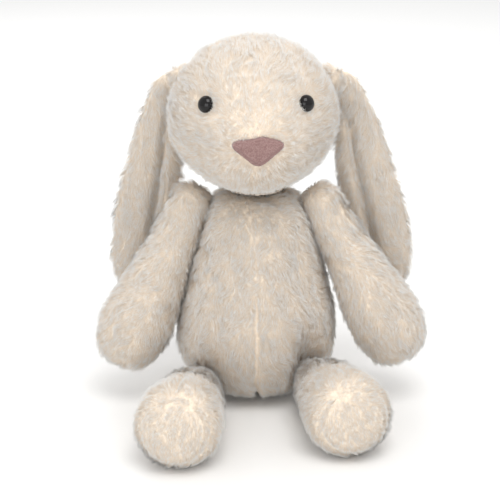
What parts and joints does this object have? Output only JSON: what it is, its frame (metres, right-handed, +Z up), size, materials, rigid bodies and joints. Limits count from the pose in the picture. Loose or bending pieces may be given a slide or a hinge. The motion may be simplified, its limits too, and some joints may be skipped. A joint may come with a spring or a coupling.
{
  "type": "plush rabbit toy",
  "caption": "Sitting plush rabbit with long lop ears, club arms, round feet, gloss eyes and a felt nose; head, ears, arms and legs pivot.",
  "frame": {"origin": "middle of the flat seat, on the surface the toy sits on", "axes": "+Z up, -Y the way the face looks, +X the rabbit's own left"},
  "size_m": [0.2082, 0.2047, 0.2315],
  "materials": {
    "plush": "cream long pile plush, soft and matte",
    "ear_plush": "cream short pile plush, matte",
    "nose_felt": "dusty mauve flocked felt",
    "eye": "black high gloss",
    "washer": "white moulded plastic",
    "fibre_fill": "white polyester fibre",
    "lining_cloth": "thin woven pouch cloth",
    "pellets": "milky plastic beans"
  },
  "bodies": {
    "torso": {"torso_front_left": "plush", "torso_front_right": "plush", "torso_back_left": "plush", "torso_back_right": "plush", "torso_stuffing": "fibre_fill", "seat_pellet_pouch": "lining_cloth", "seat_pellets": "pellets", "tail_cover": "plush", "tail_stuffing": "fibre_fill"},
    "neck": {"neck_roll": "plush"},
    "head": {"head_gusset": "plush", "head_side_left": "plush", "head_side_right": "plush", "head_stuffing": "fibre_fill", "nose": "nose_felt", "eye_left": "eye", "eye_right": "eye", "eye_washer_left": "washer", "eye_washer_right": "washer"},
    "ear_left": {"ear_left_back": "plush", "ear_left_lining": "ear_plush"},
    "ear_right": {"ear_right_back": "plush", "ear_right_lining": "ear_plush"},
    "arm_left": {"arm_left_outer": "plush", "arm_left_inner": "plush", "arm_left_stuffing": "fibre_fill"},
    "arm_right": {"arm_right_outer": "plush", "arm_right_inner": "plush", "arm_right_stuffing": "fibre_fill"},
    "leg_left": {"leg_left_outer": "plush", "leg_left_inner": "plush", "leg_left_sole": "plush", "leg_left_stuffing": "fibre_fill", "leg_left_pellet_pouch": "lining_cloth", "leg_left_pellets": "pellets"},
    "leg_right": {"leg_right_outer": "plush", "leg_right_inner": "plush", "leg_right_sole": "plush", "leg_right_stuffing": "fibre_fill", "leg_right_pellet_pouch": "lining_cloth", "leg_right_pellets": "pellets"}
  },
  "joints": [
    {"name": "neck_turn", "type": "hinge", "parent": "torso", "child": "neck", "pos_m": [0, 0, 0.126], "axis": [0, 0, 1], "range_deg": [-10, 10]},
    {"name": "head_nod", "type": "hinge", "parent": "neck", "child": "head", "pos_m": [0, 0, 0.126], "axis": [-1, 0, 0], "range_deg": [-12, 12]},
    {"name": "ear_left_lift", "type": "hinge", "parent": "head", "child": "ear_left", "pos_m": [0.045, 0.007, 0.203], "axis": [0, -1, 0], "range_deg": [0, 100]},
    {"name": "ear_right_lift", "type": "hinge", "parent": "head", "child": "ear_right", "pos_m": [-0.045, 0.007, 0.203], "axis": [0, 1, 0], "range_deg": [0, 100]},
    {"name": "arm_left_swing", "type": "hinge", "parent": "torso", "child": "arm_left", "pos_m": [0.041, -0.003, 0.126], "axis": [-1, 0, 0], "range_deg": [-10, 110]},
    {"name": "arm_right_swing", "type": "hinge", "parent": "torso", "child": "arm_right", "pos_m": [-0.041, -0.003, 0.126], "axis": [-1, 0, 0], "range_deg": [-10, 110]},
    {"name": "leg_left_lift", "type": "hinge", "parent": "torso", "child": "leg_left", "pos_m": [0.035, -0.022, 0.0165], "axis": [-0.9744, -0.225, 0], "range_deg": [-20, 40]},
    {"name": "leg_right_lift", "type": "hinge", "parent": "torso", "child": "leg_right", "pos_m": [-0.0355, -0.036, 0.0165], "axis": [-0.9925, 0.1219, 0], "range_deg": [-20, 40]}
  ]
}
